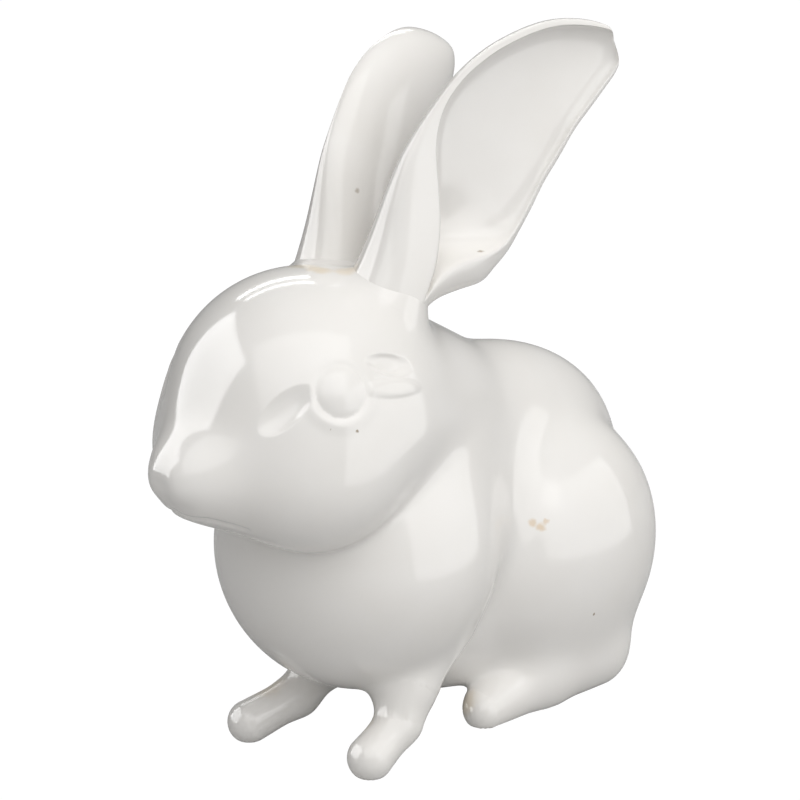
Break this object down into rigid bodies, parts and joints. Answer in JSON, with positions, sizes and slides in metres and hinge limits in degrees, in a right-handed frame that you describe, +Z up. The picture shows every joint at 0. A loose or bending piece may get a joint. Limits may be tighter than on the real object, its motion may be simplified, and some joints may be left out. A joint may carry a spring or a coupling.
{
  "type": "ceramic rabbit figurine",
  "caption": "White glazed slip-cast rabbit, crouching with its ears up, as hollow body and head castings with solid ears, legs, feet and tail luted on. Stands free as an ornament.",
  "frame": {"origin": "on the ground, under the middle of the rabbit's bounding box", "axes": "+Z up, -Y the way the rabbit looks, +X its own left side"},
  "size_m": [0.111, 0.2273, 0.2597],
  "materials": {
    "white_glaze": "glossy clear glaze over a white body",
    "luting_slip": "cream fired slip"
  },
  "bodies": {
    "root": {"torso_shell": "white_glaze", "head_shell": "white_glaze", "ear_left": "white_glaze", "ear_right": "white_glaze", "foreleg_left": "white_glaze", "foreleg_right": "white_glaze", "hind_foot_left": "white_glaze", "hind_foot_right": "white_glaze", "tail": "white_glaze", "neck_seam": "luting_slip", "ear_left_seam": "luting_slip", "ear_right_seam": "luting_slip", "foreleg_left_seam": "luting_slip", "foreleg_right_seam": "luting_slip", "hind_foot_left_seam": "luting_slip", "hind_foot_right_seam": "luting_slip", "tail_seam": "luting_slip"}
  },
  "joints": []
}
